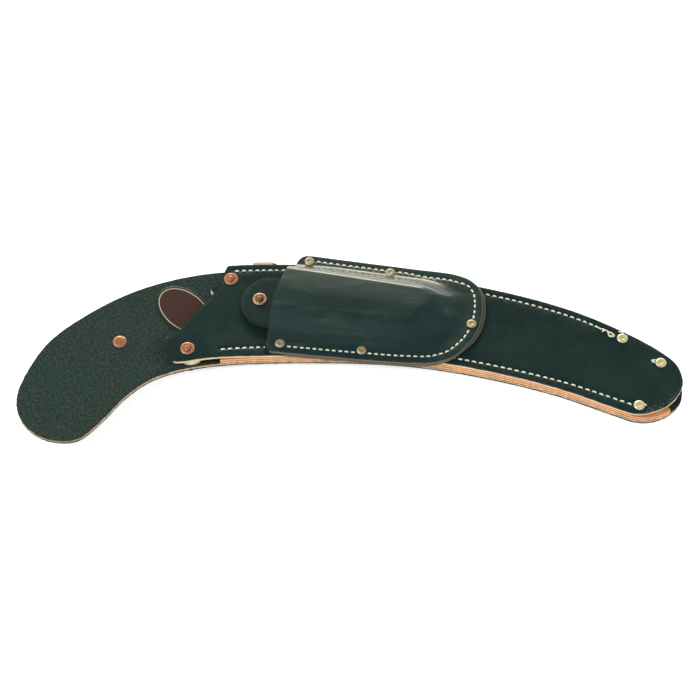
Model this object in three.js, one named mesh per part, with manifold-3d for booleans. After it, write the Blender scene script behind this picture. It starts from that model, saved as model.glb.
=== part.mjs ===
// A curved pruning-saw scabbard with a pruner pouch, lying on its back.
// A rubber-belting back plate and a leather front panel are sewn and riveted together over two
// curved pairs of leather welts, which leave a channel for the blade. A moulded leather pouch is
// riveted to the front panel, and a three-cornered leather belt loop to the back plate.
// Units are millimetres. +X runs from the handle paddle to the tip, +Y to the outer (convex) edge,
// and +Z from the back of the scabbard to its front.

import * as THREE from "three";
import { mergeVertices } from "three/addons/utils/BufferGeometryUtils.js";
import Module from "manifold-3d";

const { degToRad, lerp, radToDeg, smoothstep } = THREE.MathUtils;

const wasm = await Module();
wasm.setup();

// ---------------------------------------------------------------- driving dimensions

const LEATHER = 3.2; // front panel, pouch and belt loop
const BELTING = 4.8; // rubber belting back plate
const WELT = 3.2; // each of the two layers between panel and back plate
const LAYER_GAP = 0.05; // air between stacked layers
const THREAD_PROUD = 0.5; // how far a seam thread stands out of its face
const THREAD_WIDTH = 1.0;
const LOOP_CLEARANCE = 8.0; // belt space under the crown of the belt loop

const WELT_WIDTH = 16;
const UPPER_SEAM_INSET = 7; // seam line to the panel's edge
const LOWER_SEAM_INSET = { mouth: 9.2, middle: 7.1, tip: 9.1 };
const POUCH_SEAM_INSET = { farSide: 6.4, nearSide: 7.1, farCorner: 8.2 };
const POUCH_BULGE = 24; // crown of the pouch above its sewn flange

const COPPER = { head: 6.4, headHeight: 1.3, shank: 1.9, hole: 2.3, burr: 6.6, burrHeight: 0.9, peen: 3.1 };
const BRASS = {
  cap: 5.0,
  pouchCap: 4.5,
  capHeight: 1.5,
  post: 1.5,
  hole: 1.9,
  backCap: 4.0,
  backHeight: 0.8,
};

const RIVET_SIDES = 14;
const HOLE_SIDES = 10;
const CURVE_STEPS = 3; // straight pieces between two points of an outline

// Rivet centres in plan
const PADDLE_RIVET = [-211, 9];
const MOUTH_RIVETS = { upper: [-110.5, 72.4], lower: [-147.6, -4.7] };
const TAB_RIVET = [-83, 47];
const FOOT_RIVET = [84, 27];
const TIP_RIVETS = { upper: [248.4, 6.2], end: [281.2, -20.2], lower: [258, -65.2] };
const POUCH_RIVETS = [
  [-63.5, -3.9],
  [10.4, -11.4],
  [110.8, 17.5],
  [37.4, 74.6],
  [-37.8, 87.2],
];

// ---------------------------------------------------------------- heights

const backZ = LEATHER + LOOP_CLEARANCE; // back face of the back plate
const beltingTop = backZ + BELTING;
const innerWeltZ = beltingTop + LAYER_GAP;
const outerWeltZ = innerWeltZ + WELT + LAYER_GAP;
const panelZ = outerWeltZ + WELT + LAYER_GAP;
const panelTop = panelZ + LEATHER;
const seamClearance = THREAD_PROUD + 2 * LAYER_GAP;
const pouchBackZ = panelTop + seamClearance; // the pouch and the loop lie over the seam threads
const pouchBackTop = pouchBackZ + LEATHER;
const pouchFrontZ = pouchBackTop + LAYER_GAP;
const flangeTop = pouchFrontZ + LEATHER;
const loopEndTop = backZ - seamClearance;
const loopEndZ = loopEndTop - LEATHER;

// ---------------------------------------------------------------- plan outlines

const point = ([x, y]) => new THREE.Vector2(x, y);

// Points on an arc, angles in degrees, counter-clockwise when to is above from.
function arc(x, y, radius, from, to, count) {
  return Array.from({ length: count }, (_, i) => {
    const a = degToRad(from + ((to - from) * i) / (count - 1));
    return [x + radius * Math.cos(a), y + radius * Math.sin(a)];
  });
}

// A smooth curve through plan points, as a list of Vector2.
function smooth(points, closed = false, steps = CURVE_STEPS) {
  const curve = new THREE.CatmullRomCurve3(
    points.map(([x, y]) => new THREE.Vector3(x, y, 0)),
    closed,
    "centripetal",
  );
  const made = curve.getPoints(points.length * steps).map((p) => new THREE.Vector2(p.x, p.y));
  return closed ? made.slice(0, -1) : made;
}

// The part of a closed outline that runs on from its point nearest one place to that nearest another.
function stretch(outline, from, to) {
  const nearest = (place) => {
    const distances = outline.map((p) => p.distanceTo(point(place)));
    return distances.indexOf(Math.min(...distances));
  };
  const first = nearest(from);
  const last = nearest(to);
  if (last > first) return outline.slice(first, last + 1);
  return [...outline.slice(first), ...outline.slice(0, last + 1)];
}

// The points of an open line moved to the left of its direction, by a constant or a function of the point.
function offset(line, distance) {
  return line.map((p, i) => {
    const ahead = line[Math.min(i + 1, line.length - 1)];
    const behind = line[Math.max(i - 1, 0)];
    const along = ahead.clone().sub(behind).normalize();
    const d = typeof distance === "function" ? distance(p) : distance;
    return new THREE.Vector2(p.x - along.y * d, p.y + along.x * d);
  });
}

// A band beside a line, between two distances to its left.
function band(line, near, far) {
  return [...offset(line, near), ...offset(line, far).reverse()];
}

// The back plate's two long edges run counter-clockwise: the inner (concave) edge from paddle to tip,
// the round tip, and the outer edge from tip to paddle.
const PADDLE = { x: -255.6, y: -51.8, radius: 44.8 };
const backPoints = [
  ...arc(PADDLE.x, PADDLE.y, PADDLE.radius, 165, 288, 6),
  [-222, -75.5],
  [-202, -50],
  [-181.5, -32.8],
  [-160, -23.3],
  [-131, -16.7],
  [-95, -13.2],
  [-36, -11.9],
  [22, -13.3],
  [73, -18.6],
  [131, -30.7],
  [187.8, -47.8],
  [239.6, -69.2],
  [255.8, -75.2],
  [270.8, -74.8],
  [286.5, -67.8],
  [297.6, -54.8],
  [299.6, -39],
  [295.4, -22],
  [282, -8],
  [255.7, 10.2],
  [213, 33.2],
  [170, 49.7],
  [126, 62.3],
  [60, 77.6],
  [0, 86],
  [-58, 89.2],
  [-114, 87.8],
  [-157.5, 80.6],
  [-201.5, 65],
  [-244, 38.6],
  [-278, 6.4],
];
const backOutline = smooth(backPoints, true);

// The front panel shares the back plate's outline, from near the mouth's lower end round the tip to its
// upper end. At the lower end it is cut back a little, and under the tip it is trimmed short of the belting.
const TIP_TRIM = 3.7;
const tipTrim = (p) => TIP_TRIM * smoothstep(p.x, 243, 280) * smoothstep(-p.y, 38, 58);
const sharedEdge = offset(stretch(backOutline, [-83, -12.8], [-114, 87.8]), tipTrim);
const cutBackEdge = smooth([
  [-149.2, -18.3],
  [-139.3, -16.5],
  [-130.2, -15.1],
  [-120, -13.9],
  [-105, -13.1],
  [-93, -12.9],
]);

// The mouth is cut on a slant, with a round lobe at its lower end that carries a rivet.
const mouthEdge = smooth([[-115, 86.5], [-117.6, 78], [-118.5, 68], [-127, 55], [-143, 33.5], [-157, 14]]);
const LOBE = { x: -156, y: -3, radius: 16 };
const lobeEdge = arc(LOBE.x, LOBE.y, LOBE.radius, 128, 280, 10).map(point);
const panelOutline = [...sharedEdge, ...mouthEdge, ...lobeEdge, ...cutBackEdge];

// The welts stop short of each other near the tip, which leaves a gap for sawdust to fall out.
const lowerWeltEdge = stretch(backOutline, [-119, -15.4], [286.5, -67.8]);
const upperWeltEdge = stretch(backOutline, [301, -41], [-99, 88.7]);
const lowerSeamEdge = stretch(backOutline, [-119, -15.4], [246, -71.5]);
const upperSeamEdge = stretch(backOutline, [243, 17], [-103, 88.6]);

// The end of the outer welt was cut proud of the panel's edge over a short stretch near the mouth.
const PROUD = { from: -91, to: -67.5, by: 5.6 };
const proudOffset = (p) => (p.x > PROUD.from && p.x < PROUD.to ? -PROUD.by : 0);

// At the mouth the upper welts widen into a foot for the rivet, with one corner showing past the panel.
const upperWeltFoot = [
  [-113.6, 87.6],
  [-118.2, 70],
  [-129.8, 62.8],
  [-127, 58.6],
  [-112, 58],
  [-99, 64.5],
].map(point);

function upperWelt(edgeOffset) {
  const outer = offset(upperWeltEdge, edgeOffset);
  const inner = offset(upperWeltEdge, WELT_WIDTH).reverse();
  return [...outer, ...upperWeltFoot, ...inner.slice(2)];
}

const lowerWelt = band(lowerWeltEdge, 0, WELT_WIDTH);

// The lower seam draws nearer to the edge half way along and away from it again towards the tip.
function lowerSeamInset(p) {
  const { mouth, middle, tip } = LOWER_SEAM_INSET;
  return lerp(lerp(mouth, middle, smoothstep(p.x, -60, 110)), tip, smoothstep(p.x, 140, 250));
}

// Pouch: straight long sides that converge a little, a round closed end and a bowed, slanted mouth.
const pouchPoints = [
  [-71, -12.6],
  [-40, -16],
  [10, -21.1],
  [50, -24.4],
  [74, -24.3],
  [93, -17.4],
  [108, -2],
  [117.5, 17],
  [121, 38],
  [120, 53],
  [113, 65],
  [99, 72.6],
  [60, 79.2],
  [0, 88.6],
  [-34, 94.2],
];
const pouchSides = smooth(pouchPoints);
const pouchMouth = smooth([
  [-41.5, 94.6],
  [-45.8, 92.2],
  [-49, 88],
  [-52, 81],
  [-58, 68],
  [-69, 35],
  [-76, 2],
  [-77.2, -6.6],
  [-74.5, -10.4],
]);

// The pouch's cut edge slants outwards round its closed end, so each layer reaches further than its top.
const POUCH_FLARE = { front: 2.1, back: 4.4 };
function pouchOutline(flare) {
  const outwards = (p) => -flare * smoothstep(p.x, 98, 122);
  return [...offset(pouchSides, outwards), ...pouchMouth];
}
const TAB = { x: -73, y: 43.5, radius: 28.5 };

// ---------------------------------------------------------------- solids

// The corners of a regular polygon that stands in for a circle.
function ring(x, y, radius, sides) {
  return arc(x, y, radius, 0, 360, sides + 1).slice(0, -1).map(point);
}

// A flat piece cut to an outline, standing on z, with round holes given as [x, y, radius].
function plate(outline, z, thickness, holes = []) {
  const shape = new THREE.Shape(outline);
  shape.holes = holes.map(([x, y, radius]) => new THREE.Path(ring(x, y, radius, HOLE_SIDES)));
  return new THREE.ExtrudeGeometry(shape, { depth: thickness, bevelEnabled: false }).translate(0, 0, z);
}

// A solid turned about a vertical axis at (x, y), from [radius, z] points that start and end on the axis
// or close on themselves. The points run so that the faces look outwards.
function turned([x, y], profile) {
  const points = profile.map(([r, z]) => new THREE.Vector2(r, z));
  return new THREE.LatheGeometry(points, RIVET_SIDES).rotateX(Math.PI / 2).translate(x, y, 0);
}

function toSolid(geometry) {
  const bare = new THREE.BufferGeometry();
  bare.setAttribute("position", geometry.getAttribute("position"));
  if (geometry.index) bare.setIndex(geometry.index);
  const merged = mergeVertices(bare, 1e-4);
  return new wasm.Manifold(
    new wasm.Mesh({
      numProp: 3,
      vertProperties: merged.attributes.position.array,
      triVerts: new Uint32Array(merged.index.array),
    }),
  );
}

function toGeometry(solid) {
  const mesh = solid.getMesh();
  return new THREE.BufferGeometry()
    .setAttribute("position", new THREE.BufferAttribute(new Float32Array(mesh.vertProperties), 3))
    .setIndex(new THREE.BufferAttribute(new Uint32Array(mesh.triVerts), 1));
}

// ---------------------------------------------------------------- materials

function material(color, roughness, metalness) {
  return new THREE.MeshStandardMaterial({ color, roughness, metalness });
}
const blackLeather = material(0x1b2b28, 0.45, 0);
const pouchLeather = material(0x25383a, 0.32, 0);
const tanLeather = material(0xd98a55, 0.75, 0);
const paleLeather = material(0xe4cf9c, 0.8, 0);
const rubberBelting = material(0x2c3f39, 0.85, 0);
const threadWhite = material(0xe9e2c4, 0.7, 0);
const copper = material(0xb4714c, 0.4, 0.9);
const brass = material(0xc9bd7d, 0.35, 0.9);
const cardBrown = material(0x4a2c26, 0.6, 0);

const scabbard = new THREE.Group();
function add(name, geometry, look) {
  const mesh = new THREE.Mesh(geometry, look);
  mesh.name = name;
  scabbard.add(mesh);
}

// ---------------------------------------------------------------- back plate, welts and front panel

const tipRivets = Object.values(TIP_RIVETS);
const mouthRivets = Object.values(MOUTH_RIVETS);
const copperHole = ([x, y]) => [x, y, COPPER.hole];
const brassHole = ([x, y]) => [x, y, BRASS.hole];

add(
  "belting_back",
  plate(backOutline, backZ, BELTING, [
    ...mouthRivets.map(copperHole),
    copperHole(PADDLE_RIVET),
    ...tipRivets.map(brassHole),
  ]),
  rubberBelting,
);

const upperWeltHoles = [
  copperHole(MOUTH_RIVETS.upper),
  brassHole(TIP_RIVETS.upper),
  brassHole(TIP_RIVETS.end),
];
add("upper_welt_inner", plate(upperWelt(0), innerWeltZ, WELT, upperWeltHoles), tanLeather);
add("upper_welt_outer", plate(upperWelt(proudOffset), outerWeltZ, WELT, upperWeltHoles), tanLeather);
add("lower_welt_inner", plate(lowerWelt, innerWeltZ, WELT, [brassHole(TIP_RIVETS.lower)]), tanLeather);
add("lower_welt_outer", plate(lowerWelt, outerWeltZ, WELT, [brassHole(TIP_RIVETS.lower)]), tanLeather);

// A round leather spacer under the lower mouth rivet fills the welts' height where they have not begun.
const SPACER = { x: -145.5, y: -4.2, radius: 13 };
add(
  "mouth_spacer",
  plate(
    ring(SPACER.x, SPACER.y, SPACER.radius, 36),
    innerWeltZ,
    2 * WELT + LAYER_GAP,
    [copperHole(MOUTH_RIVETS.lower)],
  ),
  paleLeather,
);

add(
  "front_panel",
  plate(panelOutline, panelZ, LEATHER, [
    ...mouthRivets.map(copperHole),
    copperHole(TAB_RIVET),
    copperHole(FOOT_RIVET),
    ...tipRivets.map(brassHole),
  ]),
  blackLeather,
);

// ---------------------------------------------------------------- pouch

// A round pocket is sunk under each pouch rivet, so that its back cap lies flush behind the pouch.
function pouchBack() {
  const holes = [...POUCH_RIVETS.map(brassHole), copperHole(FOOT_RIVET)];
  const tab = ring(TAB.x, TAB.y, TAB.radius, 36);
  const body = toSolid(plate(pouchOutline(POUCH_FLARE.back), pouchBackZ, LEATHER, holes));
  const bore = plate(ring(...TAB_RIVET, COPPER.hole, HOLE_SIDES), pouchBackZ - 1, LEATHER + 2);
  let made = body.add(toSolid(plate(tab, pouchBackZ, LEATHER))).subtract(toSolid(bore));
  const pocketRadius = BRASS.backCap + 0.4;
  const pocketDepth = BRASS.backHeight + 0.3;
  for (const [x, y] of POUCH_RIVETS) {
    const pocket = plate(ring(x, y, pocketRadius, RIVET_SIDES), pouchBackZ - 1, 1 + pocketDepth);
    made = made.subtract(toSolid(pocket));
  }
  return toGeometry(made);
}

// The pouch front is a flat sewn flange round a moulded bulge. The bulge is turned about the pouch's
// long axis, pressed flat, and cut off by the slanted mouth.
const AXIS = { start: [-100, 49.3], angle: -7.3, straight: 152, mouthRadius: 40.5, farRadius: 37, cap: 54 };

function bulge(inset) {
  const height = POUCH_BULGE + LEATHER - inset;
  const capSteps = 8;
  const profile = [
    [0, 0],
    [AXIS.mouthRadius - inset, 0],
    [AXIS.farRadius - inset, AXIS.straight],
  ];
  for (let i = 1; i <= capSteps; i++) {
    const a = (Math.PI / 2) * (i / capSteps);
    const radius = i === capSteps ? 0 : (AXIS.farRadius - inset) * Math.cos(a);
    profile.push([radius, AXIS.straight + (AXIS.cap - inset) * Math.sin(a)]);
  }
  const widest = AXIS.mouthRadius - inset;
  return new THREE.LatheGeometry(profile.map(([r, s]) => new THREE.Vector2(r, s)), 36)
    .rotateZ(-Math.PI / 2)
    .scale(1, 1, height / widest)
    .rotateZ(degToRad(AXIS.angle))
    .translate(AXIS.start[0], AXIS.start[1], pouchFrontZ);
}

function pouchFront() {
  const outline = pouchOutline(POUCH_FLARE.front);
  const flange = toSolid(plate(outline, pouchFrontZ, LEATHER, POUCH_RIVETS.map(brassHole)));
  const column = toSolid(plate(outline, pouchFrontZ, POUCH_BULGE + 2 * LEATHER));
  const outer = toSolid(bulge(0)).intersect(column);
  return toGeometry(flange.add(outer).subtract(toSolid(bulge(LEATHER))));
}

add("pouch_back", pouchBack(), blackLeather);
add("pouch_front", pouchFront(), pouchLeather);

// ---------------------------------------------------------------- belt loop

// The direction, in degrees, that points out of a counter-clockwise outline's side from a to b.
function outwardAngle(a, b) {
  return radToDeg(Math.atan2(a.x - b.x, b.y - a.y));
}

// The loop is a rounded triangle with a rivet at each corner. It lies flat at the rivets and bows away
// from the back plate between the two mouth rivets and the paddle rivet, so that a belt runs through
// parallel to the scabbard's mouth.
function beltLoop() {
  const upper = point(MOUTH_RIVETS.upper);
  const lower = point(MOUTH_RIVETS.lower);
  const paddle = point(PADDLE_RIVET);
  const beltWay = lower.clone().sub(upper).normalize();
  const across = new THREE.Vector2(beltWay.y, -beltWay.x);
  const reach = paddle.clone().sub(upper).dot(across); // mouth rivets' line to the paddle rivet
  const margin = 13;
  const flat = 9;
  const slope = 11;
  const rise = (s) => {
    const inner = Math.min(s - flat, reach - flat - s) / slope;
    return smoothstep(inner, 0, 1) * (loopEndTop - LEATHER);
  };
  const stations = Array.from({ length: 25 }, (_, i) => flat + ((reach - 2 * flat) * i) / 24);
  const ends = [-margin - 2, ...stations, reach + margin + 2];
  const profile = [
    ...ends.map((s) => new THREE.Vector2(s, loopEndZ - rise(s))),
    ...ends.map((s) => new THREE.Vector2(s, loopEndTop - rise(s))).reverse(),
  ];
  const half = 160;
  const strip = new THREE.ExtrudeGeometry(new THREE.Shape(profile), { depth: 2 * half, bevelEnabled: false });
  const basis = new THREE.Matrix4().makeBasis(
    new THREE.Vector3(across.x, across.y, 0),
    new THREE.Vector3(0, 0, 1),
    new THREE.Vector3(across.y, -across.x, 0),
  );
  strip.translate(0, 0, -half).applyMatrix4(basis).translate(upper.x, upper.y, 0);
  const corners = [upper, paddle, lower];
  const outline = corners.flatMap((corner, i) => {
    const before = corners[(i + 2) % 3];
    const after = corners[(i + 1) % 3];
    const first = outwardAngle(before, corner);
    const last = outwardAngle(corner, after);
    return arc(corner.x, corner.y, margin, first, last > first ? last : last + 360, 9).map(point);
  });
  const prism = plate(outline, -1, backZ + 1, [...mouthRivets, PADDLE_RIVET].map(copperHole));
  return toGeometry(toSolid(strip).intersect(toSolid(prism)));
}
add("belt_loop", beltLoop(), blackLeather);

// ---------------------------------------------------------------- fasteners

// A copper rivet clamps from low to high. Its head lies on one side, and on the other a burr (a washer)
// is held by the peened end of the shank.
function copperRivet(name, place, low, high, headBelow) {
  const { head, headHeight, shank, burr, burrHeight, peen } = COPPER;
  const headFace = LAYER_GAP;
  const burrFace = high - low + LAYER_GAP;
  const peenFace = burrFace + burrHeight + LAYER_GAP;
  const rivet = [
    [0, -headFace - headHeight],
    [head * 0.62, -headFace - headHeight],
    [head * 0.93, -headFace - headHeight * 0.6],
    [head, -headFace - headHeight * 0.2],
    [head * 0.97, -headFace],
    [shank, -headFace],
    [shank, peenFace],
    [peen, peenFace],
    [peen * 0.8, peenFace + 0.7],
    [0, peenFace + 1.0],
  ];
  const washer = [
    [shank + 0.3, burrFace],
    [burr, burrFace],
    [burr * 0.95, burrFace + burrHeight],
    [shank + 0.3, burrFace + burrHeight],
    [shank + 0.3, burrFace],
  ];
  const place3 = (profile) =>
    headBelow
      ? turned(place, profile.map(([r, z]) => [r, low + z]))
      : turned(place, profile.map(([r, z]) => [r, high - z]).reverse());
  add(name + "_rivet", place3(rivet), copper);
  add(name + "_burr", place3(washer), copper);
}

const mouthClamp = [loopEndZ, panelTop];
copperRivet("mouth_upper", MOUTH_RIVETS.upper, ...mouthClamp, true);
copperRivet("mouth_lower", MOUTH_RIVETS.lower, ...mouthClamp, true);
copperRivet("paddle", PADDLE_RIVET, loopEndZ, beltingTop, false);
copperRivet("pouch_tab", TAB_RIVET, panelZ, pouchBackTop, true);
copperRivet("pouch_foot", FOOT_RIVET, panelZ, pouchBackTop, true);

// A brass rivet has a domed front cap on a post, and a flat back cap pressed on the post's end.
function brassRivet(name, place, low, high, cap) {
  const { capHeight, post, backCap, backHeight } = BRASS;
  const seat = high + LAYER_GAP;
  const socket = 0.25;
  const postEnd = low - backHeight + socket + LAYER_GAP;
  add(
    name + "_cap",
    turned(place, [
      [0, postEnd],
      [post, postEnd],
      [post, seat],
      [cap * 0.96, seat],
      [cap, seat + capHeight * 0.25],
      [cap * 0.86, seat + capHeight * 0.75],
      [cap * 0.55, seat + capHeight],
      [0, seat + capHeight],
    ]),
    brass,
  );
  const backFace = low - LAYER_GAP;
  const floor = low - backHeight;
  add(
    name + "_back_cap",
    turned(place, [
      [0, floor - LAYER_GAP],
      [backCap * 0.9, floor - LAYER_GAP],
      [backCap, backFace - 0.2],
      [backCap * 0.97, backFace],
      [post + 0.3, backFace],
      [post + 0.3, floor + socket - LAYER_GAP],
      [0, floor + socket - LAYER_GAP],
    ]),
    brass,
  );
}

for (const [name, place] of Object.entries(TIP_RIVETS)) {
  brassRivet("tip_" + name + "_rivet", place, backZ, panelTop, BRASS.cap);
}
POUCH_RIVETS.forEach((place, i) => {
  const backCapSeat = pouchBackZ + BRASS.backHeight + 0.2;
  brassRivet("pouch_rivet_" + (i + 1), place, backCapSeat, flangeTop, BRASS.pouchCap);
});

// ---------------------------------------------------------------- seam threads and tag

function thread(name, line, z) {
  add(name, plate(band(line, -THREAD_WIDTH / 2, THREAD_WIDTH / 2), z, THREAD_PROUD), threadWhite);
}
const frontThreadZ = panelTop + LAYER_GAP;
const backThreadZ = backZ - LAYER_GAP - THREAD_PROUD;
const upperSeam = offset(upperSeamEdge, UPPER_SEAM_INSET);
const lowerSeam = offset(lowerSeamEdge, lowerSeamInset);
thread("upper_seam_thread_front", upperSeam, frontThreadZ);
thread("lower_seam_thread_front", lowerSeam, frontThreadZ);
thread("upper_seam_thread_back", upperSeam, backThreadZ);
thread("lower_seam_thread_back", lowerSeam, backThreadZ);

// The pouch's seam runs round its closed sides, and passes under the caps of its rivets. Each stretch
// between two caps is a node of its own.
const SEAM_STEPS = 15;
const CLEAR_OF_CAP = BRASS.pouchCap + 0.6;
function seamStretches(line) {
  const stretches = [[]];
  for (const p of line) {
    const last = stretches[stretches.length - 1];
    const underCap = POUCH_RIVETS.some((place) => p.distanceTo(point(place)) < CLEAR_OF_CAP);
    if (!underCap) last.push(p);
    else if (last.length > 0) stretches.push([]);
  }
  return stretches.filter((stretchPoints) => stretchPoints.length > 3);
}
const everyFifth = (line) => line.filter((_, i) => i % 5 === 0 || i === line.length - 1);
function pouchSeamInset(p) {
  const { farSide, nearSide, farCorner } = POUCH_SEAM_INSET;
  const cornerward = smoothstep(p.x, 50, 76) * (1 - smoothstep(p.x, 103, 116)) * smoothstep(p.y, 40, 60);
  return lerp(farSide, nearSide, smoothstep(-p.y, 0, 12)) + (farCorner - farSide) * cornerward;
}
const pouchSeam = offset(smooth(pouchPoints, false, SEAM_STEPS), pouchSeamInset);
seamStretches(pouchSeam).forEach((line, i) => {
  thread("pouch_seam_thread_" + (i + 1), everyFifth(line), flangeTop + LAYER_GAP);
});

// A blank oval tag is tucked into the mouth, on the back plate's face.
const TAG = { x: -153.5, y: 43.5, halfLength: 32, halfWidth: 21.3, angle: -46.2, thickness: 0.6 };
function swingTag() {
  return plate(ring(0, 0, 1, 40), 0, TAG.thickness)
    .scale(TAG.halfLength, TAG.halfWidth, 1)
    .rotateZ(degToRad(TAG.angle))
    .translate(TAG.x, TAG.y, beltingTop + LAYER_GAP);
}
add("swing_tag", swingTag(), cardBrown);

// ---------------------------------------------------------------- frame

// The origin is the middle of the underside of the box round the whole scabbard.
scabbard.updateMatrixWorld(true);
const box = new THREE.Box3().setFromObject(scabbard, true);
const middle = box.getCenter(new THREE.Vector3());
scabbard.position.set(-middle.x, -middle.y, -box.min.z);

export default scabbard;
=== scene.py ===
"""The looks of a curved saw scabbard with a pruner pouch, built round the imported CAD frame.

Every leather or belting sheet is a mesh with rounded cut edges and pressed seam grooves, the stitches are
separate grains of twisted thread, and the rivets are turned and hammered. Plan outlines are in millimetres
in the part's own drawing; heights come from the frame. Objects are in metres.
"""

import math

import bmesh
import bpy
import numpy as np
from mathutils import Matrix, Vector, noise
from mathutils.geometry import delaunay_2d_cdt


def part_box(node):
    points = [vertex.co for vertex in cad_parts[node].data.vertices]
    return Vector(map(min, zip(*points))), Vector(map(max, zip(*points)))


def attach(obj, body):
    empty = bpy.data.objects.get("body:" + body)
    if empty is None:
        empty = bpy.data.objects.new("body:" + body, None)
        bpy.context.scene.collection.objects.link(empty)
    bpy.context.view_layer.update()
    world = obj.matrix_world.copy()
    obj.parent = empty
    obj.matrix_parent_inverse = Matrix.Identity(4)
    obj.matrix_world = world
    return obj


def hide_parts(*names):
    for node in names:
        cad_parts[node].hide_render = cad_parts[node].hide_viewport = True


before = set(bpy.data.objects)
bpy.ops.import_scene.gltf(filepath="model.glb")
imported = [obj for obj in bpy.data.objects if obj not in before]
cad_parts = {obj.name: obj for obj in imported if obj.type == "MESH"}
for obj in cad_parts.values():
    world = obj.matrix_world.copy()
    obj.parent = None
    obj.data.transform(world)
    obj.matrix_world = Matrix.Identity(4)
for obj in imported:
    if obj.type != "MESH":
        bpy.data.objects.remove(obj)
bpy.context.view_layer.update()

MM = 0.001
EDGE_SPACING = 1.6

# --- places, from the frame

PADDLE_RIVET = (-211, 9)
MOUTH_RIVETS = {"mouth_upper": (-110.5, 72.4), "mouth_lower": (-147.6, -4.7)}
TAB_RIVET = (-83, 47)
FOOT_RIVET = (84, 27)
TIP_RIVETS = {"upper": (248.4, 6.2), "end": (281.2, -20.2), "lower": (258, -65.2)}
POUCH_RIVETS = [(-63.5, -3.9), (10.4, -11.4), (110.8, 17.5), (37.4, 74.6), (-37.8, 87.2)]
TIP_CAP, POUCH_CAP = 5.0, 4.5
SPACER = (-145.5, -4.2, 12.9)
TAG = (-153.5, 43.5)
POUCH_SLOPE = math.radians(7.3)


def heights(node):
    """The lowest and highest level of a CAD node, in millimetres."""
    low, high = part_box(node)
    return low[2] / MM, high[2] / MM


rivet_low, rivet_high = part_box("paddle_rivet")
drawing_x = (rivet_low[0] + rivet_high[0]) / 2 - PADDLE_RIVET[0] * MM
drawing_y = (rivet_low[1] + rivet_high[1]) / 2 - PADDLE_RIVET[1] * MM

belting_low, belting_top = heights("belting_back")
panel_low, panel_top = heights("front_panel")
pouch_back_top = heights("pouch_back")[1]
loop_low, loop_end_top = heights("belt_loop")
LEATHER = panel_top - panel_low
flange_top = heights("pouch_front")[0] + LEATHER


def to_frame(x, y, z):
    """A point in millimetres of the drawing, as metres of the frame."""
    return x * MM + drawing_x, y * MM + drawing_y, z * MM


# --- plan outlines


def arc(x, y, radius, start, end, count):
    """Plan points round a centre, between two angles in degrees."""
    angles = [math.radians(start + (end - start) * i / (count - 1)) for i in range(count)]
    return [(x + radius * math.cos(a), y + radius * math.sin(a)) for a in angles]


def ring(x, y, radius, count):
    return arc(x, y, radius, 0, 360, count + 1)[:-1]


def smooth(points, closed=False, steps=12):
    """A centripetal Catmull-Rom curve through plan points."""
    p = [np.array(q, float) for q in points]
    count = len(p)
    before = p[-1] if closed else 2 * p[0] - p[1]
    after = [p[0], p[1]] if closed else [2 * p[-1] - p[-2]]
    p = [before] + p + after
    line = []
    for i in range(count if closed else count - 1):
        a, b, c, d = p[i : i + 4]
        ab, bc, cd = (math.sqrt(np.linalg.norm(q - r)) for q, r in ((b, a), (c, b), (d, c)))
        leave = ((b - a) / ab - (c - a) / (ab + bc) + (c - b) / bc) * bc
        arrive = ((c - b) / bc - (d - b) / (bc + cd) + (d - c) / cd) * bc
        bend, twist = 3 * (c - b) - 2 * leave - arrive, 2 * (b - c) + leave + arrive
        for t in np.arange(steps) / steps:
            line.append(b + leave * t + bend * t * t + twist * t * t * t)
    if not closed:
        line.append(p[count])
    return [(float(q[0]), float(q[1])) for q in line]


class Path:
    """A plan line measured by its length."""

    def __init__(self, points, closed=False):
        self.p = np.array(points + [points[0]] if closed else points, float)
        self.s = np.concatenate([[0], np.cumsum(np.linalg.norm(np.diff(self.p, axis=0), axis=1))])
        self.length = float(self.s[-1])

    def at(self, s):
        return float(np.interp(s, self.s, self.p[:, 0])), float(np.interp(s, self.s, self.p[:, 1]))


def evenly(points, spacing, closed=False):
    path = Path(points, closed)
    count = max(3, round(path.length / spacing))
    return [path.at(path.length * i / count) for i in range(count if closed else count + 1)]


def cut_line(points):
    """A closed outline with points at the spacing of a sheet's edge."""
    return evenly(points, EDGE_SPACING, closed=True)


def stretch(outline, start, end):
    """The part of a closed outline from its point nearest one place to that nearest another."""
    first, last = (min(range(len(outline)), key=lambda i: math.dist(outline[i], q)) for q in (start, end))
    return outline[first : last + 1] if last > first else outline[first:] + outline[: last + 1]


def direction(line, i):
    """The unit direction in plan of a line at one of its points."""
    a, b = line[max(i - 1, 0)], line[min(i + 1, len(line) - 1)]
    size = math.hypot(b[0] - a[0], b[1] - a[1]) or 1.0
    return (b[0] - a[0]) / size, (b[1] - a[1]) / size


def beside(line, distance):
    """An open line moved to its left, by a constant or by a function of the place."""
    moved = []
    for i, (x, y) in enumerate(line):
        along_x, along_y = direction(line, i)
        step = distance(x, y) if callable(distance) else distance
        moved.append((x - along_y * step, y + along_x * step))
    return moved


def smoothstep(value, low, high):
    t = np.clip((value - low) / (high - low), 0, 1)
    return t * t * (3 - 2 * t)


BACK_POINTS = arc(-255.6, -51.8, 44.8, 165, 288, 6) + [
    (-222, -75.5), (-202, -50), (-181.5, -32.8), (-160, -23.3), (-131, -16.7), (-95, -13.2),
    (-36, -11.9), (22, -13.3), (73, -18.6), (131, -30.7), (187.8, -47.8), (239.6, -69.2),
    (255.8, -75.2), (270.8, -74.8), (286.5, -67.8), (297.6, -54.8), (299.6, -39), (295.4, -22),
    (282, -8), (255.7, 10.2), (213, 33.2), (170, 49.7), (126, 62.3), (60, 77.6), (0, 86), (-58, 89.2),
    (-114, 87.8), (-157.5, 80.6), (-201.5, 65), (-244, 38.6), (-278, 6.4),
]
back_outline = cut_line(smooth(BACK_POINTS, closed=True))


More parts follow.
